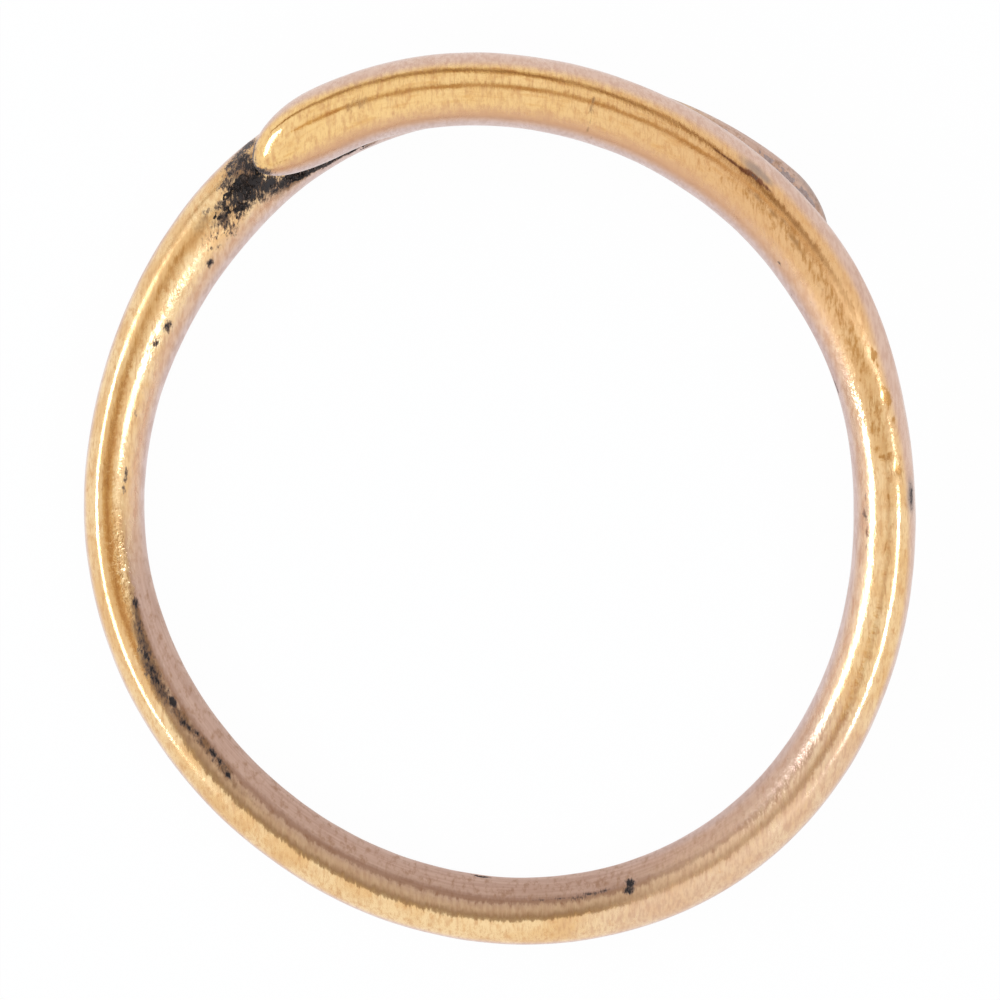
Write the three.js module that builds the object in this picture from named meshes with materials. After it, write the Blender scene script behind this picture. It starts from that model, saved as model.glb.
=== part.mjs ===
// Coil ring: one round copper-alloy wire bent once and a quarter round a finger, with its ends passing each other
// face to face, and the dark earthy crust that burial left in the nips where they pass.
// Millimetres, +Z up. The ring lies flat: its lower lap rests on z = 0 and the finger hole runs along Z.
// The origin is the middle of the wire's footprint. Angles are in degrees, counter-clockwise from +X.
import * as THREE from 'three';

// Where the wire starts and how far it runs. It runs clockwise, and "turned" counts degrees from the near tip.
const tipAngle = 126.3;
const wholeTurn = 446.8;

// Centre line of the wire seen from above: a circle, with the small bends that hand bending left in it.
const meanRadius = 9.962;
const ovalBend = 0.341;
const threeCornerBend = 0.068;
const fourCornerBend = 0.062;
const fiveCornerBend = 0.029;
const bends = [
  { corners: 2, height: ovalBend, direction: -75.3 },
  { corners: 3, height: threeCornerBend, direction: -48.6 },
  { corners: 4, height: fourCornerBend, direction: 24 },
  { corners: 5, height: fiveCornerBend, direction: -35.8 },
];
// Both ends spring out from that line, the tail so far that it shows beside the front lap.
const tipSpring = 0.153;
const tipSpringRun = 45;
const tailSpring = 0.845;
const tailSpringStart = 390;
// The very end of the tail tucks back in.
const tailTuck = 0.12;
const tailTuckStart = 438;

// Thickness of the wire along its length: thickest where the ends pass, thinner at the sides.
const sideThickness = 1.52;
const footThickness = 1.69;
const lapThickness = 1.81;
const tailThickness = 0.95;
const footTurned = 204;
const footReach = 105;
const frontSwellEnd = 88;
const frontSwellFade = 28;
const backSwellStart = 315;
const backSwellFade = 45;
const tailTaperStart = 348;

// Rounded ends: how long each nose is before the wire has its full thickness.
const tipNose = 2.0;
const tailNose = 1.6;

// Height: the wire comes down from the upper lap to the lower one between these two places.
const lapGap = 0.45;
const descentStart = 10;
const descentEnd = 232;
// The lower lap is flat underneath, a tenth of the wire's thickness deep.
const restFlatShare = 0.1;

// Crust. Its edges are section angles on the wire that carries it: 0 outward, 90 straight up, 180 on the finger side.
const crustClearance = 0.1;
const crustLumpShare = 0.22;
const crustLumps = 5;
// Past the near tip it spreads over the wire's top. Under the tip it fills the nip on the finger side.
const tipCrust = {
  start: 350,
  end: 375,
  thickness: 0.4,
  edges: [
    { atShare: 0, low: 84, high: 114 },
    { atShare: 0.2, low: 60, high: 116 },
    { atShare: 0.4, low: 54, high: 120 },
    { atShare: 0.56, low: 104, high: 140 },
    { atShare: 1, low: 134, high: 154 },
  ],
};
// Beside the tail a thin line of it lies on the outer side.
const tailCrust = {
  start: 424,
  end: 442,
  thickness: 0.2,
  edges: [
    { atShare: 0, low: 42, high: 78 },
    { atShare: 1, low: 48, high: 80 },
  ],
};

// Fineness of the surfaces.
const wireSides = 20;
const bodySteps = 132;
const noseSteps = 7;
const crustSteps = 30;
const crustRows = 7;
const directionStep = 0.5;

const upperRise = lapThickness + lapGap;
const radians = THREE.MathUtils.degToRad;
const degrees = THREE.MathUtils.radToDeg;
const clamp = THREE.MathUtils.clamp;
const lerp = THREE.MathUtils.lerp;
const quarter = Math.PI / 2;

// Goes smoothly from 0 to 1 while share goes from 0 to 1.
function smooth(share) {
  return THREE.MathUtils.smoothstep(share, 0, 1);
}

// Thickness of the wire without the rounding of its ends.
function thicknessAt(turned) {
  const frontSwell = 1 - smooth((turned - frontSwellEnd) / frontSwellFade);
  const backSwell = smooth((turned - backSwellStart) / backSwellFade);
  const fromFoot = clamp((turned - footTurned) / footReach, -1, 1);
  const footSwell = Math.cos(fromFoot * quarter) ** 2;
  const taper = smooth((turned - tailTaperStart) / (wholeTurn - tailTaperStart));
  return sideThickness
    + (lapThickness - sideThickness) * Math.max(frontSwell, backSwell)
    + (footThickness - sideThickness) * footSwell
    - (lapThickness - tailThickness) * taper;
}

// How much of the full thickness is left at a distance from an end, for a nose shaped as half an ellipse.
function noseShare(distance, length) {
  const s = clamp(distance / length, 0, 1);
  return Math.sqrt(1 - (1 - s) * (1 - s));
}

// Plan radius of the centre line.
function radiusAt(turned) {
  const angle = radians(tipAngle - turned);
  let radius = meanRadius;
  for (const bend of bends) radius += bend.height * Math.cos(bend.corners * (angle - radians(bend.direction)));
  radius += tipSpring * (1 - smooth(turned / tipSpringRun));
  radius += tailSpring * smooth((turned - tailSpringStart) / (wholeTurn - tailSpringStart));
  radius -= tailTuck * smooth((turned - tailTuckStart) / (wholeTurn - tailTuckStart));
  return radius;
}

// Centre of the wire after it has turned so far from the near tip.
function centreAt(turned) {
  const angle = radians(tipAngle - turned);
  const radius = radiusAt(turned);
  const onFlat = (thicknessAt(turned) / 2) * (1 - 2 * restFlatShare);
  const rise = upperRise * (1 - smooth((turned - descentStart) / (descentEnd - descentStart)));
  return new THREE.Vector3(radius * Math.cos(angle), radius * Math.sin(angle), onFlat + rise);
}

// One place on the wire: its centre, its level outward direction and its half thickness there.
function placeAt(turned) {
  const along = centreAt(turned + directionStep).sub(centreAt(turned - directionStep)).setZ(0).normalize();
  const fromTip = radians(turned) * meanRadius;
  const fromTail = radians(wholeTurn - turned) * meanRadius;
  const half = (thicknessAt(turned) / 2) * noseShare(fromTip, tipNose) * noseShare(fromTail, tailNose);
  return { centre: centreAt(turned), outward: new THREE.Vector3(-along.y, along.x, 0), half };
}

// A point beside the wire's centre, at a distance in the upright section plane.
function pointRound(place, distance, sectionAngle) {
  return place.centre.clone()
    .addScaledVector(place.outward, distance * Math.cos(sectionAngle))
    .setZ(place.centre.z + distance * Math.sin(sectionAngle));
}

// The wire's section: a circle, less the flat that lies on the ground.
function wireSection(turned) {
  const place = placeAt(turned);
  const facet = Math.PI / wireSides;
  const cut = Math.acos(clamp(place.centre.z / place.half, -1, Math.cos(facet)));
  const points = [];
  for (let side = 0; side < wireSides; side++) {
    const share = side / (wireSides - 1);
    points.push(pointRound(place, place.half, cut - quarter + share * 2 * (Math.PI - cut)));
  }
  return points;
}

// A closed skin over a row of sections, drawn to a point at each end.
function skin(first, sections, last) {
  const sides = sections[0].length;
  const points = [first, ...sections.flat(), last];
  const faces = [];
  for (let side = 0; side < sides; side++) {
    const next = (side + 1) % sides;
    faces.push(0, 1 + next, 1 + side);
    for (let row = 0; row + 1 < sections.length; row++) {
      const here = 1 + row * sides;
      const there = here + sides;
      faces.push(here + side, there + next, there + side);
      faces.push(here + side, here + next, there + next);
    }
    const end = 1 + (sections.length - 1) * sides;
    faces.push(points.length - 1, end + side, end + next);
  }
  const geometry = new THREE.BufferGeometry().setFromPoints(points);
  geometry.setIndex(faces);
  geometry.computeVertexNormals();
  return geometry;
}

// Places along the wire: close together on the two noses, evenly spaced between them.
function wireStations() {
  const tipTurn = degrees(tipNose / meanRadius);
  const tailTurn = degrees(tailNose / meanRadius);
  const stations = [];
  for (let i = 1; i <= noseSteps; i++) {
    stations.push(tipTurn * (1 - Math.cos((i / noseSteps) * quarter)));
  }
  for (let i = 1; i < bodySteps; i++) {
    stations.push(lerp(tipTurn, wholeTurn - tailTurn, i / bodySteps));
  }
  for (let i = noseSteps; i >= 1; i--) {
    stations.push(wholeTurn - tailTurn * (1 - Math.cos((i / noseSteps) * quarter)));
  }
  return stations;
}

// The crust's two edges, in radians, for a share of its length.
function crustEdges(edges, share) {
  const after = edges.findIndex((edge, i) => i > 0 && share <= edge.atShare);
  const [from, to] = [edges[after - 1], edges[after]];
  const part = smooth((share - from.atShare) / (to.atShare - from.atShare));
  return [radians(lerp(from.low, to.low, part)), radians(lerp(from.high, to.high, part))];
}

// The crust is a lens-shaped strip: it hugs the wire that carries it, and swells out between its two edges.
function crustStrip({ start, end, thickness, edges }) {
  const sections = [];
  for (let i = 1; i < crustSteps; i++) {
    const share = i / crustSteps;
    const place = placeAt(lerp(start, end, share));
    const [low, high] = crustEdges(edges, share);
    const bulk = Math.sqrt(Math.sin(share * Math.PI));
    const rounded = [];
    const hugging = [];
    for (let row = 0; row <= crustRows; row++) {
      const across = row / crustRows;
      const angle = lerp(low, high, across);
      const wave = Math.sin(2 * Math.PI * (crustLumps * share + across));
      const swell = thickness * bulk * Math.sin(across * Math.PI) * (1 - (crustLumpShare * (1 + wave)) / 2);
      rounded.push(pointRound(place, place.half + crustClearance + swell, angle));
      if (row > 0 && row < crustRows) hugging.unshift(pointRound(place, place.half + crustClearance, angle));
    }
    sections.push([...rounded, ...hugging]);
  }
  const endPoint = (share) => {
    const place = placeAt(lerp(start, end, share));
    const [low, high] = crustEdges(edges, share);
    return pointRound(place, place.half + crustClearance, (low + high) / 2);
  };
  return skin(endPoint(0), sections, endPoint(1));
}

// Least distance between points of the wire's surface that lie at least half a turn apart along it.
function leastGap(stations, sections) {
  let least = Infinity;
  for (let i = 0; i < sections.length; i++) {
    for (let j = i + 1; j < sections.length; j++) {
      if (stations[j] - stations[i] < 180) continue;
      for (const a of sections[i]) for (const b of sections[j]) least = Math.min(least, a.distanceTo(b));
    }
  }
  return least;
}

const bronze = new THREE.MeshStandardMaterial({ color: 0xd0995a, roughness: 0.3, metalness: 1 });
const earth = new THREE.MeshStandardMaterial({ color: 0x2b2422, roughness: 0.95, metalness: 0 });

function piece(name, geometry, material) {
  const mesh = new THREE.Mesh(geometry, material);
  mesh.name = name;
  return mesh;
}

const stations = wireStations();
const sections = stations.map(wireSection);
const wire = piece('coil_wire', skin(centreAt(0), sections, centreAt(wholeTurn)), bronze);
const ring = new THREE.Group();
ring.name = 'coil_ring';
ring.add(wire, piece('tip_crust', crustStrip(tipCrust), earth), piece('tail_crust', crustStrip(tailCrust), earth));

// The footprint's middle becomes the origin, and the flat underneath lies on z = 0.
const footprint = new THREE.Box3().setFromObject(wire);
const middle = footprint.getCenter(new THREE.Vector3());
ring.position.set(-middle.x, -middle.y, -footprint.min.z);

const bore = Math.min(...sections.flat().map((point) => Math.hypot(point.x, point.y)));
console.log(`least gap between the laps: ${leastGap(stations, sections).toFixed(3)} mm`);
console.log(`round gauge that passes the finger hole: ${(2 * bore).toFixed(2)} mm across`);

export default ring;
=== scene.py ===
# %% [markdown]
# # An ancient coil ring
# The ring is one length of round bronze wire, bent once and a quarter round a finger so that its two ends
# pass each other. Its CAD model is loaded first as a fixed frame: it has the right size and place, but it is
# faceted and plain. Here the wire gets a finer skin with the wear of two thousand years, and the crust gets
# its grit.

# %% Load the CAD model
import math

import bpy
import numpy as np
from mathutils import Matrix, Vector, noise


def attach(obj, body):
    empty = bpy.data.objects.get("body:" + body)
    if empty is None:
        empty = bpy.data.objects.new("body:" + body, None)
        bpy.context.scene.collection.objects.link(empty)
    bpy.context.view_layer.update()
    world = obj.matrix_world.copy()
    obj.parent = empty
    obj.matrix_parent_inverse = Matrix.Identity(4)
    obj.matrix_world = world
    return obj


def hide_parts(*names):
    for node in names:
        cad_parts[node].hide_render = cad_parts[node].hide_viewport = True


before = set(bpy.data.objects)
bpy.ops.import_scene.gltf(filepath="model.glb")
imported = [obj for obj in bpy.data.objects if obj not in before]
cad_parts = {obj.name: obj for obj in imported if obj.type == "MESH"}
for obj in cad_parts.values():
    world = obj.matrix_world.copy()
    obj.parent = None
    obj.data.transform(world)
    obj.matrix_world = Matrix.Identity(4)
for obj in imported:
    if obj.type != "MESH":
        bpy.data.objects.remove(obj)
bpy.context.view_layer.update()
mm = 0.001
print("the CAD nodes:", sorted(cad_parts))

# %% [markdown]
# ## Camera
# The photograph looks straight down the finger hole. The camera's own side of the room is dark, and it is
# mirrored as a thin dark line along the crest of the wire, all the way round. A long lens keeps the view
# nearly parallel. The picture's right is +X and its top is +Y. The camera could be aimed with a constraint,
# but a plain place above the ring needs none, and it makes it easy to find the place on the wire that a
# pixel of the photograph shows.

# %% The camera, and where it sees a point
photo_side = 1000
pixel = 0.025
camera_distance = 300.0
aim = np.array([0.023, 0.007, 1.9])

camera = bpy.data.objects.new("camera", bpy.data.cameras.new("camera"))
camera.data.sensor_width = 36.0
camera.data.lens = camera.data.sensor_width * camera_distance / (photo_side * pixel)
camera.data.clip_start = 0.01
camera.data.clip_end = 20.0
camera.location = Vector(aim + [0, 0, camera_distance]) * mm
bpy.context.scene.collection.objects.link(camera)
bpy.context.scene.camera = camera


def seen_at(points):
    """The photograph's pixels where the camera sees points given in millimetres."""
    away = points - aim
    enlarged = camera_distance / (camera_distance - away[..., 2]) / pixel
    return photo_side / 2 + away[..., 0] * enlarged, photo_side / 2 - away[..., 1] * enlarged


print("lens:", round(camera.data.lens), "mm")

# %% [markdown]
# ## The wire's route
# These are the CAD model's own values and formulas, in millimetres, so that the fine skin lies where the CAD
# wire is. The wire runs clockwise from its near tip, and `turned` counts the degrees from there. It starts
# on top, passes over its own other end, and comes down to lie flat on the table.

# %% Route and thickness
tip_angle = 126.3
whole_turn = 446.8
mean_radius = 9.962
bends = [(2, 0.341, -75.3), (3, 0.068, -48.6), (4, 0.062, 24), (5, 0.029, -35.8)]
tip_spring, tip_spring_run = 0.153, 45
tail_spring, tail_spring_start = 0.845, 390
tail_tuck, tail_tuck_start = 0.12, 438
side_thickness, foot_thickness, lap_thickness, tail_thickness = 1.52, 1.69, 1.81, 0.95
foot_turned, foot_reach = 204, 105
front_swell_end, front_swell_fade = 88, 28
back_swell_start, back_swell_fade = 315, 45
tail_taper_start = 348
tip_nose, tail_nose = 2.0, 1.6
lap_gap = 0.45
descent_start, descent_end = 10, 232
rest_flat_share = 0.1
upper_rise = lap_thickness + lap_gap


def smooth(share):
    """Goes smoothly from 0 to 1 while share goes from 0 to 1."""
    share = np.clip(share, 0, 1)
    return share * share * (3 - 2 * share)


def stretch_of(turned_at, start, start_fade, end, end_fade):
    """1 on a stretch of the wire and 0 beyond it, with a fade at each end, all in degrees turned."""
    return smooth((turned_at - start) / start_fade) * (1 - smooth((turned_at - end) / end_fade))


def bell(values, peak, reach):
    """1 at the peak, with a soft fall to both sides that leaves about a third at the reach."""
    return np.exp(-(((values - peak) / reach) ** 2))


def thickness_at(turned):
    front_swell = 1 - smooth((turned - front_swell_end) / front_swell_fade)
    back_swell = smooth((turned - back_swell_start) / back_swell_fade)
    foot_swell = np.cos(np.clip((turned - foot_turned) / foot_reach, -1, 1) * math.pi / 2) ** 2
    taper = smooth((turned - tail_taper_start) / (whole_turn - tail_taper_start))
    swell = (lap_thickness - side_thickness) * np.maximum(front_swell, back_swell)
    foot = (foot_thickness - side_thickness) * foot_swell
    return side_thickness + swell + foot - (lap_thickness - tail_thickness) * taper


def nose_share(distance, length):
    share = np.clip(distance / length, 0, 1)
    return np.sqrt(1 - (1 - share) ** 2)


def centre_at(turned):
    angle = np.radians(tip_angle - turned)
    radius = mean_radius + tip_spring * (1 - smooth(turned / tip_spring_run))
    radius = radius + tail_spring * smooth((turned - tail_spring_start) / (whole_turn - tail_spring_start))
    radius = radius - tail_tuck * smooth((turned - tail_tuck_start) / (whole_turn - tail_tuck_start))
    for corners, height, direction in bends:
        radius = radius + height * np.cos(corners * (angle - math.radians(direction)))
    on_flat = thickness_at(turned) / 2 * (1 - 2 * rest_flat_share)
    rise = upper_rise * (1 - smooth((turned - descent_start) / (descent_end - descent_start)))
    return np.stack([radius * np.cos(angle), radius * np.sin(angle), on_flat + rise], axis=-1)


def place_at(turned):
    """Centre, level outward direction and half thickness of the wire, for a row of places."""
    step = 0.5
    along = centre_at(turned + step) - centre_at(turned - step)
    along[:, 2] = 0
    along /= np.linalg.norm(along, axis=1)[:, None]
    outward = np.stack([-along[:, 1], along[:, 0], np.zeros(len(turned))], axis=-1)
    from_tip = np.radians(turned) * mean_radius
    from_tail = np.radians(whole_turn - turned) * mean_radius
    half = thickness_at(turned) / 2 * nose_share(from_tip, tip_nose) * nose_share(from_tail, tail_nose)
    return centre_at(turned), outward, half


# %% [markdown]
# ## A fine skin for the wire
# The real wire was hammered and drawn by hand, so it is never quite round: its finger side is flatter, its
# crest lies a little outside the middle, and its girth wanders by a few hundredths of a millimetre. Light
# runs along such a wire in wavering lines. A curve with a bevel would give a plain tube and no hold on the
# dents, so the skin is written as a grid of points: one row for each place along the wire, one column for
# each angle round it.

# %% The grid of the wire
sides = 96
body_steps = 1000
nose_steps = 16
crest_shift_share = 0.17
front_crest_share = 0.08
left_crest_share = 0.245
waver = 0.014

tip_turn = math.degrees(tip_nose / mean_radius)
tail_turn = math.degrees(tail_nose / mean_radius)
ease = 1 - np.cos(np.arange(1, nose_steps + 1) / nose_steps * math.pi / 2)
turned = np.concatenate([
    tip_turn * ease,
    np.linspace(tip_turn, whole_turn - tail_turn, body_steps + 1)[1:-1],
    whole_turn - tail_turn * ease[::-1],
])
centre, outward, half = place_at(turned)
straight_up = np.array([0.0, 0.0, 1.0])
# The lower lap is cut flat where it rests. The cut is the angle that the flat takes, either side of down.
cut = np.arccos(np.clip(centre[:, 2] / half, -1, math.cos(math.pi / sides)))
column_share = np.arange(sides) / (sides - 1)
angle = cut[:, None] - math.pi / 2 + column_share[None, :] * 2 * (math.pi - cut[:, None])
length_along = np.radians(turned) * mean_radius

radial = outward[:, None, :] * np.cos(angle)[..., None] + straight_up * np.sin(angle)[..., None]
# The crest lies nearly in the middle of the front lap, and furthest out on the picture's left.
front = stretch_of(turned, 12, 18, 98, 26)
left = stretch_of(turned, 255, 40, 338, 20)
crest_shift = crest_shift_share - (crest_shift_share - front_crest_share) * front
crest_shift = crest_shift + (left_crest_share - crest_shift_share) * left
egg = 1 + crest_shift[:, None] * np.cos(angle) * (np.sin(angle) > 0)
points = centre[:, None, :] + radial * half[:, None, None]
points[..., 2] = centre[:, None, 2] + half[:, None] * np.sin(angle) * egg
middle = (points[..., :2].min(axis=(0, 1)) + points[..., :2].max(axis=(0, 1))) / 2
points[..., :2] -= middle
centre[:, :2] -= middle
# The straightened wire, in millimetres along it, outwards and up, for the patterns that run along it.
place = np.stack([
    np.repeat(length_along[:, None], sides, axis=1),
    half[:, None] * np.cos(angle),
    half[:, None] * np.sin(angle),
], axis=-1)
print("grid:", points.shape[0], "rows of", sides, "points")

# %% [markdown]
# ## Marks read from the photograph
# Each dent, pit and stain sits where the photograph shows it, so it is given by the pixel it is seen at. The
# camera sees each point of the grid at a known pixel, so a mark goes to the nearest grid point that faces
# the camera.

# %% From a pixel to a place on the wire
# Beyond this many degrees turned the wire is the back lap.
wrap_start = 300
# Grid points this near a pixel are taken together. The lap below is at least lap_step millimetres lower.
near_pixels = 2.5
lap_step = 0.6
least_facing = 0.02
facing = np.sin(angle) > least_facing
seen_x, seen_y = seen_at(points)


def on_wire(x, y, under=False):
    """Row and column of the grid point seen at a pixel, on the upper lap or on the one under it."""
    off = np.hypot(seen_x - x, seen_y - y)
    off[~facing] = np.inf
    if under:
        off[turned < wrap_start] = np.inf
    else:
        close = off < max(near_pixels, off.min() + 1)
        off[points[..., 2] < points[..., 2][close].max() - lap_step] = np.inf
    return np.unravel_index(np.argmin(off), off.shape)


def spot(x, y, long, wide, under=False):
    """How much each grid point belongs to a soft spot, so long and so wide in millimetres."""
    row, column = on_wire(x, y, under)
    across = (angle - angle[row, column]) * half[:, None]
    along = (length_along - length_along[row])[:, None]
    return np.exp(-((along / (long / 2)) ** 2) - (across / (wide / 2)) ** 2)


print("the tip's highlight is on row and column", on_wire(266, 142))

# %% Dents, pits and lumps
dents = np.zeros(angle.shape)
# Broad hollows on the right, as x and y in pixels, and length, width and depth in millimetres.
for x, y, long, wide, depth in [
    (874, 356, 0.42, 0.22, 0.012), (886, 399, 0.45, 0.30, 0.014), (878, 449, 0.14, 0.22, 0.008),
    (883, 456, 0.16, 0.36, 0.012), (890, 452, 0.10, 0.20, 0.008), (897, 470, 0.34, 0.28, 0.016),
    (893, 421, 0.20, 0.10, 0.005), (861, 380, 0.14, 0.08, 0.004), (872, 408, 0.22, 0.16, 0.005),
    (862, 366, 0.16, 0.10, 0.004), (866, 438, 0.20, 0.12, 0.005),
]:
    dents += depth * spot(x, y, long, wide)
# Pits on the lower left, and single ones elsewhere.
for x, y, long, wide, depth in [
    (135, 604, 0.30, 0.12, 0.020), (140, 628, 0.40, 0.12, 0.020), (146, 655, 0.50, 0.14, 0.020),
    (156, 680, 0.40, 0.12, 0.020), (172, 702, 0.30, 0.16, 0.050), (183, 722, 0.24, 0.14, 0.030),
    (197, 733, 0.18, 0.12, 0.030), (213, 753, 0.26, 0.16, 0.040), (227, 774, 0.20, 0.14, 0.030),
    (168, 327, 0.24, 0.18, 0.020), (155, 343, 0.16, 0.12, 0.015), (211, 262, 0.22, 0.18, 0.020),
    (631, 884, 0.16, 0.24, 0.020), (481, 876, 0.24, 0.10, 0.030),
]:
    dents += depth * spot(x, y, long, wide)
print("deepest dent:", round(float(dents.max()), 3), "mm")

# %% Wandering girth, and the dents, on the skin
# Slow waves are about two millimetres long, and quick ones half a millimetre.
quick_share = 0.35
wander = np.zeros(angle.shape)
for row in range(len(turned)):
    for column in range(sides):
        at = Vector(place[row, column])
        slow = noise.noise(Vector((at.x * 0.45, at.y * 0.9, at.z * 0.9)))
        quick = noise.noise(Vector((at.x * 1.6 + 40, at.y * 2.2, at.z * 2.2)))
        wander[row, column] = slow + quick_share * quick
# Nothing moves underneath, where the wire rests on its flat.
above = smooth((np.sin(angle) + 0.5) / 0.4)
points += radial * ((waver * wander - dents) * above)[..., None]
points[..., 2] = np.maximum(points[..., 2], 0)
print("girth wanders by", round(float(np.abs(waver * wander).max()), 3), "mm")

# %% [markdown]
# ## Stains
# Burial left dark crust where the laps nip together, and the polish only went as deep as a finger or a cloth
# can reach. On the back lap beside the front one, the dark crust and stains are partly a painted shade,
# where the front lap shades it. How dark each place is goes into a number at each point of the mesh, an
# attribute, which the material reads and breaks up into grains.

# %% Where the crust and the stains lie


def strongest(rows, under=False):
    """The strongest of several spots at each grid point: x, y, length, width and strength."""
    field = np.zeros(angle.shape)
    for x, y, long, wide, strength in rows:
        field = np.maximum(field, strength * spot(x, y, long, wide, under))
    return field


def strongest_stretch(rows):
    """The strongest of several stretches at each row: strength, start, its fade, end and its fade."""
    return np.maximum.reduce([strength * stretch_of(turned, *limits) for strength, *limits in rows])


def band(start, start_fade, end, end_fade, peak, reach):
    """A soft band along a stretch of the wire, with its peak and reach as section angles in degrees."""
    return stretch_of(turned, start, start_fade, end, end_fade)[:, None] * bell(section_degrees, peak, reach)


section_degrees = np.degrees(angle)
crust_and_nip_shade = strongest([
    (242, 190, 0.80, 0.75, 1.0), (256, 182, 0.60, 0.60, 1.0), (252, 162, 0.50, 0.80, 0.72),
    (236, 174, 0.45, 0.45, 0.50), (236, 203, 0.60, 0.60, 0.80), (224, 218, 0.50, 0.40, 0.74),
    (240, 213, 0.45, 0.40, 0.68), (206, 212, 0.35, 0.30, 0.50), (217, 208, 0.30, 0.25, 0.62),
    (232, 230, 0.50, 0.40, 0.52), (219, 236, 0.40, 0.20, 0.50), (263, 199, 0.50, 0.28, 0.62),
    (210, 250, 0.25, 0.15, 0.50), (217, 248, 0.20, 0.12, 0.60), (211, 262, 0.26, 0.20, 0.95),
    (252, 148, 0.50, 0.60, 0.90), (244, 158, 0.55, 0.50, 0.85), (237, 168, 0.50, 0.40, 0.75),
    (247, 146, 0.50, 0.50, 0.90), (239, 154, 0.50, 0.50, 0.80), (231, 163, 0.50, 0.40, 0.70),
    (229, 186, 0.45, 0.40, 0.64), (252, 196, 0.60, 0.50, 0.85), (246, 207, 0.50, 0.34, 0.70),
    (222, 204, 0.45, 0.34, 0.68), (227, 223, 0.50, 0.40, 0.62), (264, 195, 0.50, 0.30, 0.75),
    (274, 191, 0.50, 0.26, 0.75), (286, 187, 0.50, 0.20, 0.65), (216, 226, 0.60, 0.50, 0.38),
    (250, 165, 0.60, 0.60, 0.82), (257, 172, 0.50, 0.50, 0.90), (245, 178, 0.60, 0.50, 0.85),
    (232, 172, 0.60, 0.60, 0.66), (226, 182, 0.60, 0.50, 0.66), (238, 160, 0.50, 0.50, 0.68),
    (208, 240, 0.60, 0.40, 0.32), (140, 628, 1.10, 0.28, 0.56), (146, 652, 1.10, 0.36, 0.62),
    (153, 674, 1.10, 0.40, 0.66), (162, 692, 0.90, 0.38, 0.62), (178, 714, 1.00, 0.32, 0.50),
    (200, 740, 1.20, 0.30, 0.44), (222, 766, 1.00, 0.30, 0.44),
    (168, 327, 0.34, 0.26, 0.85), (155, 343, 0.26, 0.20, 0.7),
    (127, 472, 0.30, 0.12, 0.7), (125, 480, 0.24, 0.12, 0.7), (124, 489, 0.30, 0.12, 0.6),
    (137, 411, 0.30, 0.12, 0.5), (481, 876, 0.46, 0.14, 1.2), (631, 882, 0.24, 0.28, 1.1),
    (629, 890, 0.30, 0.26, 0.9), (911, 497, 0.70, 0.20, 0.8), (837, 388, 0.60, 0.12, 0.85),
    (753, 176, 0.40, 0.12, 0.62), (865, 514, 0.24, 0.14, 0.45),
    (867, 535, 0.24, 0.14, 0.45), (866, 495, 0.14, 0.08, 0.55),
    (590, 893, 0.60, 0.12, 0.66), (578, 897, 0.50, 0.12, 0.62), (605, 890, 0.40, 0.12, 0.62),
    (560, 899, 0.50, 0.10, 0.58), (540, 900, 0.40, 0.08, 0.54), (144, 648, 0.50, 0.20, 0.6),
    (152, 672, 0.50, 0.24, 0.7), (161, 690, 0.40, 0.20, 0.6),
    (780, 263, 0.24, 0.10, 0.6), (791, 294, 0.20, 0.12, 0.5), (866, 517, 0.24, 0.14, 0.5),
    (135, 604, 0.36, 0.18, 0.9), (140, 628, 0.50, 0.16, 0.7), (146, 655, 0.60, 0.18, 0.8),
    (156, 680, 0.50, 0.16, 0.75), (172, 702, 0.40, 0.22, 1.0), (183, 722, 0.34, 0.20, 0.85),
    (190, 728, 0.30, 0.14, 0.7), (197, 733, 0.24, 0.14, 0.8), (213, 753, 0.36, 0.20, 0.9),
    (220, 762, 0.34, 0.18, 0.7), (227, 774, 0.30, 0.18, 0.8),
])
# On the back lap, in the nips beside the front one: partly crust, partly a painted shade under the front
# lap.
crust_and_nip_shade = np.maximum(crust_and_nip_shade, strongest([
    (270, 184, 0.80, 0.45, 0.95), (286, 181, 0.90, 0.34, 0.95), (300, 174, 0.60, 0.26, 0.95),
    (311, 171, 0.70, 0.26, 0.95), (320, 167, 0.60, 0.24, 0.95), (329, 163, 0.60, 0.20, 0.95),
    (340, 157, 0.60, 0.18, 0.90), (350, 152, 0.60, 0.14, 0.85), (366, 147, 0.60, 0.12, 0.70),
], under=True))
stains_and_nip_shade = strongest([
    (246, 176, 0.90, 1.60, 0.85), (225, 215, 1.00, 0.90, 0.5), (204, 222, 0.90, 0.40, 0.5),
    (136, 612, 1.20, 0.24, 1.0), (142, 640, 1.20, 0.34, 1.1), (149, 665, 1.20, 0.40, 1.1),
    (160, 690, 1.20, 0.40, 1.0), (180, 716, 1.20, 0.34, 0.8), (205, 745, 1.60, 0.30, 0.6),
    (235, 785, 2.00, 0.30, 0.5),
    (593, 100, 0.06, 0.30, 0.6), (592, 110, 0.06, 0.30, 0.6), (590, 120, 0.06, 0.30, 0.6),
    (589, 130, 0.06, 0.30, 0.6), (591, 138, 0.06, 0.20, 0.6),
    (150, 668, 1.60, 0.36, 1.0), (139, 632, 1.20, 0.30, 0.9), (163, 694, 0.90, 0.36, 0.9),
    (186, 724, 0.90, 0.36, 0.9), (205, 746, 1.00, 0.36, 0.8), (224, 768, 1.00, 0.36, 0.8),
    (756, 198, 0.80, 0.20, 0.55), (772, 212, 0.60, 0.16, 0.55), (784, 222, 0.50, 0.16, 0.55),
    (795, 240, 0.80, 0.22, 0.6), (803, 254, 0.50, 0.18, 0.5), (822, 290, 0.60, 0.20, 0.45),
    (150, 660, 2.60, 0.40, 0.5), (195, 740, 2.60, 0.50, 0.5), (360, 103, 1.00, 0.35, 0.45),
    (290, 158, 0.35, 0.14, 1.0), (868, 515, 1.20, 0.20, 0.45), (593, 115, 0.10, 0.60, 0.3),
])
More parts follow.
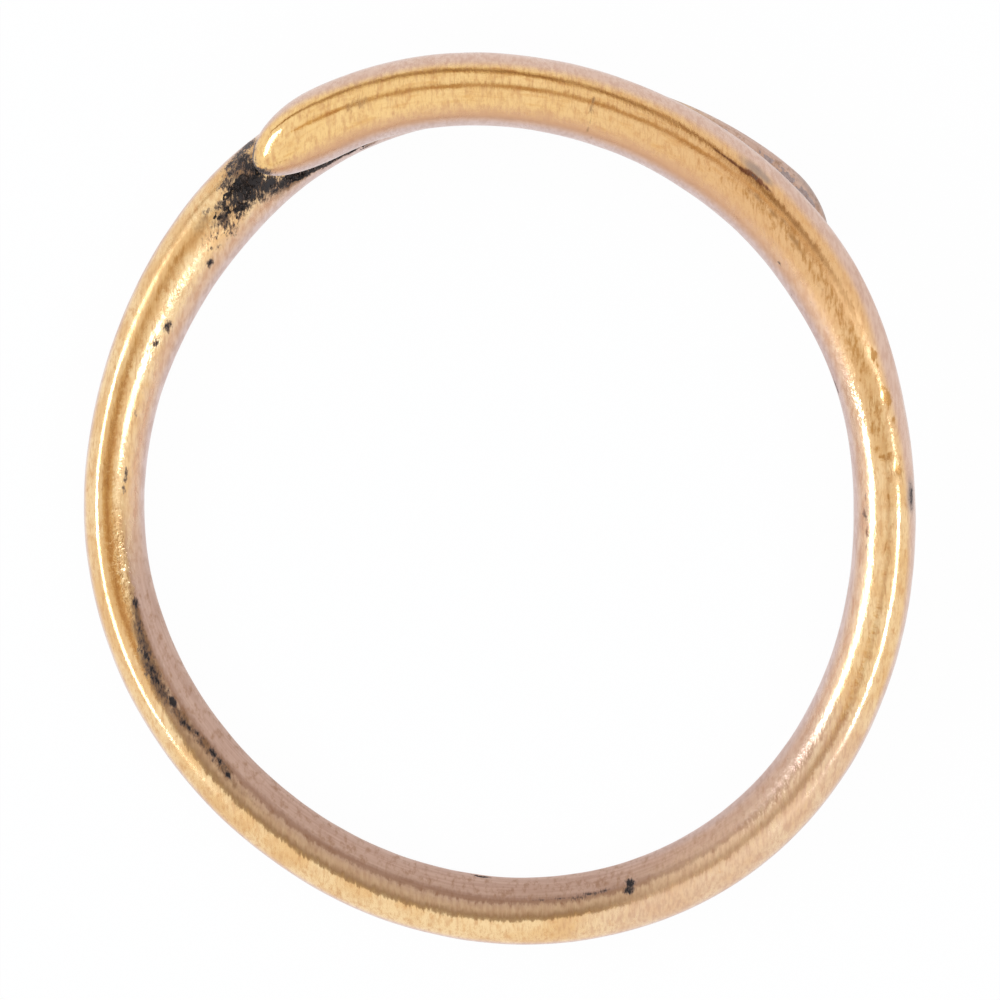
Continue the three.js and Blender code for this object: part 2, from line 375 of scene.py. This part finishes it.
# Stains on the back lap and the tail beside the front lap: partly stain, partly a painted shade under the
# front lap.
stains_and_nip_shade = np.maximum(stains_and_nip_shade, strongest([
    (780, 163, 1.20, 0.30, 0.4), (812, 195, 1.20, 0.50, 0.4), (300, 176, 2.00, 0.50, 0.8),
    (345, 153, 1.60, 0.30, 0.8), (372, 143, 0.80, 0.20, 0.6),
], under=True))
# The hollows on the right hold an orange brown, and there is a little of it by the tip.
hollow_brown = strongest([
    (874, 354, 0.50, 0.24, 1.0), (877, 364, 0.40, 0.14, 0.8), (887, 397, 0.46, 0.30, 1.0),
    (884, 388, 0.40, 0.20, 0.8), (872, 404, 0.60, 0.44, 0.75), (883, 456, 0.16, 0.40, 1.0),
    (877, 448, 0.20, 0.16, 0.9), (890, 452, 0.12, 0.20, 0.9), (898, 470, 0.44, 0.34, 1.1),
    (893, 421, 0.26, 0.12, 0.9), (861, 380, 0.20, 0.10, 0.8), (873, 430, 0.60, 0.44, 0.7),
    (868, 392, 0.40, 0.20, 0.6), (866, 345, 0.40, 0.20, 0.5), (888, 500, 0.90, 0.10, 0.6),
    (886, 540, 1.00, 0.10, 0.5), (881, 420, 0.50, 0.20, 0.6), (856, 350, 0.40, 0.20, 0.5),
    (290, 158, 0.50, 0.14, 0.9), (281, 162, 0.40, 0.10, 0.7),
])
# The crest of the front lap before the hollows and the crest on the upper left hold it in flecks.
fleck_strength = 0.55
flecks = np.maximum(band(60, 18, 104, 8, 92, 18), band(300, 12, 344, 6, 73, 8))
hollow_brown = np.maximum(hollow_brown, fleck_strength * flecks)
# The grey smudge on the front lap's outer flank, a spot on the right side's, and the tail's greyish end.
greying = strongest([
    (755, 169, 0.90, 0.34, 1.0), (764, 177, 0.60, 0.26, 0.9), (911, 497, 1.00, 0.40, 1.0),
])
greying = np.maximum(greying, strongest([
    (808, 186, 1.20, 0.60, 0.6), (824, 212, 0.90, 0.50, 0.7),
], under=True))
# A thin dark red line in that smudge, and specks beside the right side's inner streak.
reddening = strongest([
    (717, 152, 0.50, 0.10, 0.7), (725, 157, 0.50, 0.10, 0.8), (733, 163, 0.50, 0.11, 0.9),
    (742, 169, 0.50, 0.14, 1.0), (751, 175, 0.50, 0.16, 1.0), (759, 181, 0.50, 0.16, 1.0),
    (766, 188, 0.40, 0.14, 0.8), (865, 498, 0.30, 0.10, 0.55), (865, 514, 0.40, 0.14, 0.7),
    (867, 534, 0.40, 0.14, 0.7), (866, 546, 0.30, 0.12, 0.55),
])
print("crust covers", round(float((crust_and_nip_shade > 0.5).mean() * 100), 1), "percent of the wire")

# %% Where the polish is dull, pinkish or warm


def down_the_rows(values):
    """One value for each row of the grid, repeated at all its columns."""
    return np.repeat(values[:, None], sides, axis=1)


# On the lower lap the finger side and the crest were left dull, down to a line a little outside the crest.
# On the front lap a brown line runs at nearly the same place. Both are section angles. The brown line is a
# painted reflection of the camera's dark side, which the crest mirrors; on the lower lap it is painted along
# the edge of the dull.
lower_edge = 83 - 8 * smooth((turned - 198) / 26) + 32 * smooth((turned - 272) / 22)
front_edge = 84 - 12 * smooth((turned - 66) / 10) + 11 * smooth((turned - 103) / 8)
front_lap_end = 130
edge_degrees = np.where(turned < front_lap_end, front_edge, lower_edge)
past_edge = section_degrees - edge_degrees[:, None]
dull_part = 0.5 * stretch_of(turned, 155, 14, 291, 18) + 0.5 * stretch_of(turned, 186, 16, 291, 18)
# How strong the painted reflection of the camera's dark side is along the wire.
crest_reflection_share = strongest_stretch([
    (1, 188, 20, 262, 26), (0.3, 15, 9, 62, 14), (0.65, 70, 8, 96, 10), (0.4, 112, 8, 190, 12),
])
# The tail's end is dull all round, as if it lay well past the line.
well_past = 40
tail_dull = smooth((turned - 396) / 34)
dull_part = np.maximum(dull_part, tail_dull)
past_edge = past_edge * (1 - tail_dull[:, None]) + well_past * tail_dull[:, None]
# The flanks are pinkish, the outer one widest on the front lap. All round it is so where the dull begins.
# The pale pink is partly a duller polish and partly a painted reflection of the white room at a grazing
# angle.
front_lap = stretch_of(turned, -4, 24, 100, 50)
right_side = stretch_of(turned, 95, 15, 150, 30)
outer_limit = 34 + 30 * front_lap + 10 * right_side
pale_flank_and_reflection = smooth((outer_limit[:, None] - section_degrees) / 30)
pale_flank_and_reflection = np.maximum(pale_flank_and_reflection, 0.5 * stretch_of(turned, 148, 16, 196, 20)[:, None])
# The front lap is browner where it passes the tail. The crest is ochre after that, and on the left, where
# the ochre is a painted reflection of the camera's dark lens.
warming = bell(turned, 80, 34)
ochre_and_lens_reflection = np.maximum(band(280, 16, 345, 14, 69, 18), 0.75 * band(94, 10, 116, 10, 90, 24))
# Near the tip the metal is a deeper yellow, with browner flanks.
deep_yellow = stretch_of(turned, -20, 10, 60, 50)
# Hammer ripples and grain that break up the light, on the left and along the right side's inner streak.
rippling = strongest([
    (128, 562, 2.60, 0.60, 1.0), (140, 620, 1.50, 0.50, 0.6), (797, 765, 2.60, 0.50, 0.4),
    (776, 800, 2.00, 0.50, 0.5), (846, 372, 2.20, 0.50, 0.6), (861, 412, 1.60, 0.40, 0.3),
    (152, 345, 1.20, 0.60, 0.5), (176, 300, 1.60, 0.60, 0.5), (750, 826, 1.60, 0.40, 0.5),
])
# The cloth left the front lap, the lower lap and the upper left a little duller than the two sides.
satin = strongest_stretch([
    (0.6, 8, 14, 104, 6), (1, 163, 12, 262, 16), (2.2, 86, 8, 105, 4), (1.2, 322, 10, 352, 6),
])

# %% A mesh from a grid


def skin(name, grid, first, last, attributes):
    """A closed mesh over a grid, drawn to a point at each end, with numbers or vectors at its points."""
    rows, columns = grid.shape[:2]
    corners = np.concatenate([[first], grid.reshape(-1, 3), [last]]) * mm
    faces = []
    for column in range(columns):
        beside_it = (column + 1) % columns
        faces.append((0, 1 + beside_it, 1 + column))
        for row in range(rows - 1):
            this_row = 1 + row * columns
            next_row = this_row + columns
            faces.append((this_row + column, this_row + beside_it, next_row + beside_it, next_row + column))
        end = 1 + (rows - 1) * columns
        faces.append((len(corners) - 1, end + column, end + beside_it))
    mesh = bpy.data.meshes.new(name)
    mesh.from_pydata(corners.tolist(), [], faces)
    for title, values in attributes.items():
        flat = values.reshape(rows * columns, -1)
        flat = np.concatenate([flat[:1], flat, flat[-1:]]).astype(np.float32)
        vector = flat.shape[1] == 3
        layer = mesh.attributes.new(title, "FLOAT_VECTOR" if vector else "FLOAT", "POINT")
        layer.data.foreach_set("vector" if vector else "value", flat.ravel())
    mesh.polygons.foreach_set("use_smooth", [True] * len(mesh.polygons))
    mesh.update()
    made = bpy.data.objects.new(name, mesh)
    bpy.context.scene.collection.objects.link(made)
    return made


# %% The wire's own mesh
ends = [centre_at(np.array([t]))[0] - [*middle, 0] for t in (0.0, whole_turn)]
wire = skin("bronze_wire", points, ends[0], ends[1], {
    "wire_place": place,
    "section_angle": section_degrees,
    "crust_and_nip_shade": crust_and_nip_shade,
    "stains_and_nip_shade": stains_and_nip_shade,
    "greying": greying,
    "past_edge": past_edge,
    "dull_part": down_the_rows(dull_part),
    "crest_reflection_share": down_the_rows(crest_reflection_share),
    "pale_flank_and_reflection": pale_flank_and_reflection,
    "warming": down_the_rows(warming),
    "ochre_and_lens_reflection": ochre_and_lens_reflection,
    "hollow_brown": hollow_brown,
    "reddening": reddening,
    "deep_yellow": down_the_rows(deep_yellow),
    "rippling": rippling,
    "satin": down_the_rows(satin),
})
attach(wire, "root")
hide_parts("coil_wire")
print("wire:", len(wire.data.polygons), "faces")

# %% [markdown]
# ## Small helpers for materials
# Colours are written as they look on a screen, in hex, and turned to linear values. One function adds a
# node, sets what it is told, and joins its inputs. The others work in the material that is being made, whose
# nodes are in tree.

# %% Colour and node helpers


def linear(hex_colour):
    """An sRGB hex colour as linear red, green and blue, with an alpha of 1."""
    parts = [int(hex_colour[i:i + 2], 16) / 255 for i in (1, 3, 5)]
    return tuple(p / 12.92 if p <= 0.04045 else ((p + 0.055) / 1.055) ** 2.4 for p in parts) + (1.0,)


def add(tree, kind, settings=None, links=None):
    """Adds a node. Settings are its own properties, or values for its inputs, by name or number."""
    made = tree.nodes.new(kind)
    for name, value in (settings or {}).items():
        if isinstance(name, str) and hasattr(made, name) and name not in made.inputs:
            setattr(made, name, value)
        else:
            made.inputs[name].default_value = value
    for name, source in (links or {}).items():
        tree.links.new(source, made.inputs[name])
    return made


def new_material(name):
    material = bpy.data.materials.new(name)
    material.use_nodes = True
    material.node_tree.nodes.clear()
    return material, material.node_tree


def here(name):
    """The number that the mesh holds at each point under this name."""
    return add(tree, "ShaderNodeAttribute", {"attribute_name": name}).outputs["Fac"]


def grain(at, stretch, detail, rough=0.5):
    """Noise with stretch as how many grains go in a millimetre along each axis."""
    stretched = add(tree, "ShaderNodeVectorMath", {"operation": "MULTIPLY", 1: stretch}, {0: at})
    settings = {"Scale": 1.0, "Detail": detail, "Roughness": rough}
    return add(tree, "ShaderNodeTexNoise", settings, {"Vector": stretched.outputs[0]}).outputs["Fac"]


def between(value, low, high, to_low=0.0, to_high=1.0):
    """Value taken smoothly from low..high to to_low..to_high."""
    settings = {"interpolation_type": "SMOOTHSTEP", "From Min": low, "From Max": high}
    settings.update({"To Min": to_low, "To Max": to_high})
    return add(tree, "ShaderNodeMapRange", settings, {"Value": value}).outputs["Result"]


def reckon(operation, a, b):
    """A sum, product or other operation on two values, each a number or an output."""
    settings, links = {"operation": operation}, {}
    for i, value in enumerate((a, b)):
        if isinstance(value, (int, float)):
            settings[i] = value
        else:
            links[i] = value
    return add(tree, "ShaderNodeMath", settings, links).outputs[0]


def times(a, b):
    return reckon("MULTIPLY", a, b)


def plus_all(value, extras):
    """Value with a share of each of several others added."""
    for extra, share in extras:
        value = reckon("ADD", value, times(extra, share))
    return value


def plus_noise(value, noise_output, amount):
    """Value with noise about it, for edges that break up into grains."""
    return reckon("ADD", value, times(reckon("SUBTRACT", noise_output, 0.5), amount))


def in_millimetres():
    """The place on the ring, in millimetres."""
    metres = add(tree, "ShaderNodeTexCoord").outputs["Object"]
    return add(tree, "ShaderNodeVectorMath", {"operation": "SCALE", "Scale": 1 / mm}, {0: metres}).outputs[0]


def blend_colours(share, first, second):
    """First where share is 0, second where it is 1. Each is a hex colour or an output."""
    settings, links = {"data_type": "RGBA"}, {}
    for socket, value in ((6, first), (7, second)):
        if isinstance(value, str):
            settings[socket] = linear(value)
        else:
            links[socket] = value
    links[0] = share
    return add(tree, "ShaderNodeMix", settings, links).outputs[2]


def layered(colour, layers):
    """A colour with others laid over it in turn, each with its share."""
    for share, over in layers:
        colour = blend_colours(share, colour, over)
    return colour


def looked_at():
    """1 for what the camera sees, also mirrored or through something clear, and 0 for spread light."""
    path = add(tree, "ShaderNodeLightPath")
    looking = reckon("ADD", path.outputs["Is Camera Ray"], path.outputs["Is Glossy Ray"])
    return reckon("MINIMUM", reckon("ADD", looking, path.outputs["Is Transmission Ray"]), 1.0)


# %% [markdown]
# ## Hand-polished bronze
# Tin bronze is a warm yellow metal. This wire was cleaned and rubbed with a cloth: it is nearly a mirror,
# with fine scratches across, but its flanks are pinkish and the finger side of the lower lap stayed a matt
# pinkish brown. The pale pink of the flanks and rims is partly a duller polish and partly a painted
# reflection of the white room at a grazing angle. The metal keeps a metal's plain settings, and the wear is
# in how rough and how brown each place is; the brown line along the crest and the ochre on the upper left
# crest are a painted reflection of the camera and its lens.

# %% The bronze
bronze, tree = new_material("hand_polished_bronze")
along_wire = add(tree, "ShaderNodeAttribute", {"attribute_name": "wire_place"}).outputs["Vector"]
across_ring = in_millimetres()
crust_shade_here, stain_shade_here, grey_here, pale_flank_here, warm_here, ochre_reflection_here = (
    here(name) for name in ("crust_and_nip_shade", "stains_and_nip_shade", "greying", "pale_flank_and_reflection", "warming", "ochre_and_lens_reflection"))

# The ring was rubbed up and down the picture: the strokes are about 0.1 mm apart and 0.4 mm long.
strokes = grain(across_ring, (11, 2.4, 6), 3, 0.6)
wobble = grain(along_wire, (8, 6, 6), 2)
hairlines = grain(along_wire, (0.7, 16, 16), 3)
clouds = grain(along_wire, (1.1, 1.1, 1.1), 4)
mottle = grain(across_ring, (7, 3.5, 4), 4, 0.65)

# Hairy edges: the line where the polish ends wanders with the strokes.
hairs = grain(across_ring, (17, 3.2, 9), 3, 0.6)
hairy = plus_noise(plus_noise(here("past_edge"), hairs, 12.0), mottle, 18.0)
section = plus_noise(plus_noise(here("section_angle"), hairs, 10.0), mottle, 20.0)
dull = times(between(hairy, -3, 6), here("dull_part"))
narrowed = reckon("DIVIDE", hairy, reckon("ADD", 1.0, here("dull_part")))
# The painted brown line: a reflection of the camera's dark side, drawn just inside the edge of the polish.
crest_reflection_line = times(between(hairy, -6, -1), between(narrowed, 1, 8, 1.0, 0.0))
crest_reflection_line = times(crest_reflection_line, here("crest_reflection_share"))
inner_part = reckon("MAXIMUM", between(section, 104, 112), between(hairy, 12, 40))
flank_line = times(between(section, 99, 106), between(section, 108, 120, 1.0, 0.0))
flank_line = times(flank_line, reckon("POWER", here("dull_part"), 0.4))
# The pale flanks are partly a duller polish and partly a painted reflection of the white room at a grazing
# angle.
outer_flank = between(plus_noise(pale_flank_here, strokes, 0.5), 0.0, 1.0)
inner_flank = between(section, 108, 138)
inner_rim = between(here("section_angle"), 134, 160)
# Ochre on the crest; on the upper left it is a painted reflection of the lens.
ochre = between(plus_noise(ochre_reflection_here, mottle, 0.9), 0.2, 0.8)

# Polished metal, deeper yellow and smeared near the tip, with browner grains and strokes.
smears = grain(along_wire, (1.4, 7, 7), 4, 0.65)
smeared = times(between(smears, 0.46, 0.74), here("deep_yellow"))
gold = layered(blend_colours(between(clouds, 0.38, 0.66), "#F8D8A6", "#ECC28A"), [
    (times(here("deep_yellow"), 0.8), "#FAD28E"),
    (warm_here, "#E6B986"),
    (times(smeared, 0.5), "#D6994F"),
    (between(mottle, 0.48, 0.74, 0.0, 0.7), "#D6A068"),
    (between(strokes, 0.45, 0.7, 0.0, 0.5), "#D4A270"),
    (between(hairs, 0.5, 0.72, 0.0, 0.4), "#C8935E"),
    # On the upper left crest this ochre is a painted reflection of the lens.
    (times(ochre, 0.35), "#CC9E5E"),
])
# The flanks and the finger side's rim: partly a duller polish, partly a painted pale reflection of the white
# room at a grazing angle.
pinkish = blend_colours(between(strokes, 0.35, 0.65), "#DEC1B4", "#D1AF9F")
brownish = blend_colours(between(strokes, 0.35, 0.65), "#E8C8AE", "#D8B094")
brownish = blend_colours(here("deep_yellow"), brownish, "#DAAC88")
rim = blend_colours(between(strokes, 0.35, 0.65), "#D8C2C0", "#CAB0AA")
# The dull crest and finger side of the lower lap.
dull_crest = blend_colours(between(strokes, 0.35, 0.68), "#CCAC8A", "#BE9A7A")
dull_crest = blend_colours(between(mottle, 0.46, 0.7, 0.0, 0.4), dull_crest, "#A68262")
dull_flank = blend_colours(between(hairlines, 0.3, 0.7), "#D2B4A4", "#C4A494")
dull_flank = blend_colours(between(mottle, 0.46, 0.72, 0.0, 0.8), dull_flank, "#AC866C")
# Stains, greying, the brown in the hollows, the red line and the crust. Beside the front lap, the dark stain
# and crust on the back lap and the tail also paint the shade under it.
# Colours of the painted reflection of the camera's dark side along the crest.
crest_reflection_brown = blend_colours(between(here("dull_part"), 0.0, 0.5), "#9C6C34", "#84603A")
brown_stain_and_shade = between(plus_noise(stain_shade_here, mottle, 1.0), 0.2, 0.8)
stain_shade_brown = blend_colours(between(plus_noise(stain_shade_here, hairs, 0.9), 0.75, 1.1), "#86603C", "#5E4630")
greyish = between(plus_noise(grey_here, mottle, 0.4), 0.1, 0.9)
hollow = between(plus_noise(plus_noise(here("hollow_brown"), hairs, 1.2), mottle, 1.2), 0.3, 0.85)
reddish = between(plus_noise(here("reddening"), hairs, 0.6), 0.25, 0.75)
# The crust's grains; beside the front lap the crust also paints the shade under it.
grit = plus_noise(crust_shade_here, grain(across_ring, (20, 7, 14), 4, 0.7), 1.7)
dirt_and_shade = between(grit, 0.26, 0.56)
crust_and_shade = between(grit, 0.52, 0.78)
body = layered(gold, [
    (times(outer_flank, 0.9), pinkish),
    (times(inner_flank, 0.9), blend_colours(inner_rim, brownish, rim)),
    (dull, blend_colours(inner_part, dull_crest, dull_flank)),
    (times(crest_reflection_line, 0.7), crest_reflection_brown),
    (times(flank_line, 0.5), "#84583C"),
    (times(brown_stain_and_shade, 0.85), stain_shade_brown),
    (times(greyish, 0.7), "#948884"),
    (times(hollow, 0.85), blend_colours(strokes, "#A87438", "#C08C4E")),
    (times(reddish, 0.85), "#6E3C30"),
    (times(dirt_and_shade, 0.8), "#6A5040"),
    (crust_and_shade, "#241C1A"),
])

roughness = plus_all(between(clouds, 0.3, 0.75, 0.10, 0.2), [
    (here("satin"), 0.1), (dull, 0.22), (reckon("MAXIMUM", inner_flank, outer_flank), 0.1),
    (brown_stain_and_shade, 0.2), (dirt_and_shade, 0.3), (hollow, 0.15),
])

# The relief is in hundredths of a millimetre.
relief_unit = 0.01 * mm
ripples = times(grain(across_ring, (9, 6, 6), 2, 0.5), here("rippling"))
dull_strokes = times(strokes, times(dull, reckon("SUBTRACT", 1.0, inner_part)))
relief = plus_all(times(strokes, 0.25), [
    (wobble, 0.35), (mottle, 0.4), (ripples, 4.0), (dull_strokes, 0.5), (crust_and_shade, -2.0),
])
bump = add(tree, "ShaderNodeBump", {"Strength": 1.0, "Distance": relief_unit}, {"Height": relief})

not_metal = reckon("MAXIMUM", times(brown_stain_and_shade, 0.5), times(dirt_and_shade, 0.8))
surface = add(tree, "ShaderNodeBsdfPrincipled", {
    "Sheen Weight": 0.3,
    "Sheen Roughness": 0.35,
    "Sheen Tint": linear("#E6D8DC"),
}, {
    "Base Color": body,
    "Metallic": reckon("SUBTRACT", 1.0, not_metal),
    "Roughness": roughness,
    "Normal": bump.outputs["Normal"],
})
add(tree, "ShaderNodeOutputMaterial", {}, {"Surface": surface.outputs["BSDF"]})
wire.data.materials.append(bronze)
print("bronze:", len(tree.nodes), "nodes")

# %% [markdown]
# ## The crust in the nips
# The earthy crust is a crumbly mineral body. It could be painted on the wire, but where it fills the nip
# between the laps it stands proud of the metal, so it is a body of its own, in the place of the CAD's
# strips. It starts a little inside the metal and only shows where its lumps rise out of it, which gives it a
# ragged edge with islands.

# %% The crust bodies
# Start and end are in degrees turned. Edges are stops along the strip: the share of its length, and the two
# section angles that it lies between. Grit is how much of the grains it has, and sunk is how far its lumps
# start under the skin. Thickness, sunk and the roots are in millimetres.
tip_crust = {
    "start": 350, "end": 376, "thickness": 0.24, "grit": 1.0, "sunk": 0.05,
    "edges": [(0, 84, 112), (0.2, 66, 112), (0.4, 62, 118), (0.56, 100, 142), (1, 134, 156)],
}
tail_crust = {
    "start": 424, "end": 443, "thickness": 0.05, "grit": 0.2, "sunk": 0.004,
    "edges": [(0, 42, 78), (1, 48, 80)],
}
crust_columns = 44
crust_root = 0.05
root_depth = 0.08


def on_skin(turned_at, angle_at):
    """Points on the wire's skin and the directions away from its middle, at rows of places and angles."""
    row = np.interp(turned_at, turned, np.arange(len(turned)))[:, None]
    first = np.interp(turned_at, turned, angle[:, 0])[:, None]
    last = np.interp(turned_at, turned, angle[:, -1])[:, None]
    column = (angle_at - first) / (last - first) * (sides - 1)
    r, c = row.astype(int), column.astype(int)
    part_r, part_c = (row - r)[..., None], (column - c)[..., None]
    found = []
    for values in (points, radial):
        before = values[r, c] * (1 - part_c) + values[r, c + 1] * part_c
        after = values[r + 1, c] * (1 - part_c) + values[r + 1, c + 1] * part_c
        found.append(before * (1 - part_r) + after * part_r)
    return found


def crust_body(name, strip, steps, seed):
    """A rough strip along the wire. Its edges run between section angles, as the CAD's strip does."""
    share = np.arange(1, steps) / steps
    shares, lows, highs = np.array(strip["edges"], float).T
    after = np.clip(np.searchsorted(shares, share), 1, len(shares) - 1)
    part = smooth((share - shares[after - 1]) / (shares[after] - shares[after - 1]))
    low = np.radians(lows[after - 1] + part * (lows[after] - lows[after - 1]))
    high = np.radians(highs[after - 1] + part * (highs[after] - highs[after - 1]))
    across = np.arange(crust_columns + 1) / crust_columns
    turned_at = strip["start"] + share * (strip["end"] - strip["start"])
    angle_at = low[:, None] + across[None, :] * (high - low)[:, None]
    base, away = on_skin(turned_at, angle_at)
    bulk = np.sqrt(np.sin(share * math.pi))[:, None] * np.sin(across * math.pi)[None, :] ** 0.7
    height = np.zeros(base.shape[:2])
    for i in range(height.shape[0]):
        for k in range(height.shape[1]):
            at = Vector(base[i, k])
            lumps = noise.fractal(at * 3.0 + Vector((seed, 0, 0)), 0.7, 2.1, 4)
            grains = noise.noise(Vector((at.x * 14, at.y * 8, at.z * 10)) + Vector((seed, 5, 0)))
            grit = noise.noise(Vector((at.x * 24, at.y * 12, at.z * 18)) + Vector((seed, 9, 0)))
            height[i, k] = strip["thickness"] * bulk[i, k] * (0.28 + 1.1 * lumps)
            height[i, k] += strip["grit"] * (0.10 * grains + 0.06 * grit) - strip["sunk"]
    height = np.maximum(height, -crust_root)
    outer = base + away * height[..., None]
    inner = base - away * root_depth
    grid = np.concatenate([outer, inner[:, -2:0:-1]], axis=1)
    return skin(name, grid, inner[0, crust_columns // 2], inner[-1, crust_columns // 2], {})


tip_body = crust_body("tip_crust_rough", tip_crust, 220, 0.0)
tail_body = crust_body("tail_crust_rough", tail_crust, 150, 9.0)
for body_piece, node_name in ((tip_body, "tip_crust"), (tail_body, "tail_crust")):
    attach(body_piece, "root")
    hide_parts(node_name)
print("crust:", len(tip_body.data.polygons) + len(tail_body.data.polygons), "faces")

# %% The crust's materials
# A crumbly earth of three colours: hollows, lumps and the fine grit on them. The thin crust by the tail is
# paler, nearly the tail's own greyish pink.
for crust, name, dark, lit, pale in (
    (tip_body, "dark_burial_crust", "#140F0E", "#463A34", "#8E7A6E"),
    (tail_body, "pale_burial_crust", "#AC9892", "#BEAAA4", "#CEBCB6"),
):
    earth, tree = new_material(name)
    in_mm = in_millimetres()
    coarse = grain(in_mm, (9, 5, 7), 4, 0.6)
    fine = grain(in_mm, (22, 7, 14), 3, 0.6)
    colour = layered(dark, [(between(coarse, 0.45, 0.72), lit), (between(fine, 0.56, 0.72), pale)])
    height = plus_all(coarse, [(fine, 0.5)])
    bump = add(tree, "ShaderNodeBump", {"Strength": 1.0, "Distance": 0.03 * mm}, {"Height": height})
    surface = add(tree, "ShaderNodeBsdfPrincipled", {"Specular IOR Level": 0.3}, {
        "Base Color": colour,
        "Roughness": between(fine, 0.3, 0.7, 0.45, 0.9),
        "Normal": bump.outputs["Normal"],
    })
    add(tree, "ShaderNodeOutputMaterial", {}, {"Surface": surface.outputs["BSDF"]})
    crust.data.materials.append(earth)
    print(name + ":", len(tree.nodes), "nodes")

# %% [markdown]
# ## Floor and studio
# The ring was photographed on white. The floor looks white to the camera and to the metal, through Light
# Path, and the small rest of it is a plain white floor that takes the ring's faint shadow. A polished wire
# shows the room around it more than its own colour, so the studio is built as a jeweller's photographer
# would: a white tent, a dark lens in it with its dark arm, and a long strip lamp to the left and to the
# right.

# %% Floor and world
white_share = 0.97
floor_material, tree = new_material("white_table")
plain = add(tree, "ShaderNodeBsdfDiffuse", {"Color": linear("#F4F4F4")})
white = add(tree, "ShaderNodeEmission", {"Color": linear("#FFFFFF"), "Strength": 1.0})
mixed = add(tree, "ShaderNodeMixShader", {}, {
    0: times(looked_at(), white_share),
    1: plain.outputs[0],
    2: white.outputs[0],
})
add(tree, "ShaderNodeOutputMaterial", {}, {"Surface": mixed.outputs[0]})

floor_reach = 1.5
mesh = bpy.data.meshes.new("table")
table_corners = [(x * floor_reach, y * floor_reach, 0) for x, y in ((-1, -1), (1, -1), (1, 1), (-1, 1))]
mesh.from_pydata(table_corners, [], [(0, 1, 2, 3)])
table = bpy.data.objects.new("table", mesh)
table.data.materials.append(floor_material)
bpy.context.scene.collection.objects.link(table)

world = bpy.data.worlds.new("white_room")
world.use_nodes = True
world.node_tree.nodes.clear()
tree = world.node_tree
spread_strength = 0.8
strength = between(looked_at(), 0.0, 1.0, spread_strength, 1.0)
background = add(tree, "ShaderNodeBackground", {"Color": linear("#FFFFFF")}, {"Strength": strength})
add(tree, "ShaderNodeOutputWorld", {}, {"Surface": background.outputs[0]})
bpy.context.scene.world = world
print("floor: white, reaching", floor_reach, "m to each side")

# %% Cards and lamps round the ring
# Each is placed as a mirror on the table would see it: by its angle off straight up and by its bearing, both
# in degrees. Bearings run counter-clockwise from the picture's right. Distances are in metres, and each card
# stands a step before the last one.
card_distance = 0.42
card_step = 0.01
lamp_distance = 0.36
# How many times as bright as white the lamps are mirrored.
lamp_brightness = 6.5


def dome_point(off_axis, bearing, distance):
    """A point on a dome round the ring."""
    o, b = math.radians(off_axis), math.radians(bearing)
    direction = Vector((math.sin(o) * math.cos(b), math.sin(o) * math.sin(b), math.cos(o)))
    return direction * distance + Vector(aim) * mm


def dark_band(name, stops, distance, hex_colour):
    """A card that only shows as a reflection: a band on the dome through stops of bearing, off axis angle
    and width, all in degrees."""
    corners, faces = [], []
    for bearing, off_axis, width in stops:
        for side in (-1, 1):
            corners.append(dome_point(off_axis + side * width / 2, bearing, distance))
    for i in range(0, len(corners) - 2, 2):
        faces.append((i, i + 1, i + 3, i + 2))
    mesh = bpy.data.meshes.new(name)
    mesh.from_pydata([tuple(c) for c in corners], [], faces)
    made = bpy.data.objects.new(name, mesh)
    paint, paint_tree = new_material(name)
    glow = add(paint_tree, "ShaderNodeEmission", {"Color": linear(hex_colour), "Strength": 1.0})
    add(paint_tree, "ShaderNodeOutputMaterial", {}, {"Surface": glow.outputs[0]})
    made.data.materials.append(paint)
    made.visible_camera = made.visible_diffuse = made.visible_shadow = False
    made.visible_transmission = made.visible_volume_scatter = False
    bpy.context.scene.collection.objects.link(made)


def strip_lamp(name, off_axis, bearing, wide, long):
    """A soft strip lamp that stands across its bearing, with its angles and sizes in degrees."""
    light = bpy.data.lights.new(name, "AREA")
    light.shape = "RECTANGLE"
    light.size = 2 * lamp_distance * math.tan(math.radians(wide / 2))
    light.size_y = 2 * lamp_distance * math.tan(math.radians(long / 2))
    light.energy = lamp_brightness * math.pi * light.size * light.size_y
    light.color = linear("#D0E2FF")[:3]
    lamp = bpy.data.objects.new(name, light)
    stand = dome_point(off_axis, bearing, lamp_distance)
    z = (stand - Vector(aim) * mm).normalized()
    y = Vector((-math.sin(math.radians(bearing)), math.cos(math.radians(bearing)), 0))
    lamp.matrix_world = Matrix.Translation(stand) @ Matrix((y.cross(z), y, z)).transposed().to_4x4()
    lamp.visible_camera = False
    bpy.context.scene.collection.objects.link(lamp)


def oval(long, above, below):
    """Stops for an oval card straight above the ring, with its reach to the sides, above and below."""
    stops = []
    for bearing in range(0, 361, 15):
        b = math.radians(bearing)
        reach = 1 / math.hypot(math.cos(b) / long, math.sin(b) / (above if bearing < 180 else below))
        stops.append((bearing, reach / 2, reach))
    return stops


def widened(stops, factor):
    """The same stops with their widths times a factor."""
    return [(bearing, off_axis, factor * width) for bearing, off_axis, width in stops]


arm = [
    (10, 24, 8), (30, 32, 10), (48, 43, 12), (60, 50, 13), (75, 53, 14), (90, 57, 14),
    (105, 62, 14), (120, 69, 9), (150, 88, 5),
]
cards = [
    ("camera_side", oval(27, 9, 5), "#E2CCA6"),
    ("camera_body", oval(14, 7.5, 4.5), "#CCAE82"),
    ("lens", oval(5, 4.5, 3.5), "#BC9A70"),
    ("camera_arm", widened(arm, 1.5), "#D2BE9C"),
    ("camera_arm_core", widened(arm, 0.6), "#94785A"),
]
for i, (name, stops, hex_colour) in enumerate(cards):
    dark_band(name, stops, card_distance - i * card_step, hex_colour)
strip_lamp("left_strip", 59, 183, 12, 50)
strip_lamp("right_strip", 42, -22, 11, 18)
print("studio:", len(cards), "cards and 2 lamps")

# %% Colours as written
bpy.context.scene.view_settings.view_transform = "Standard"
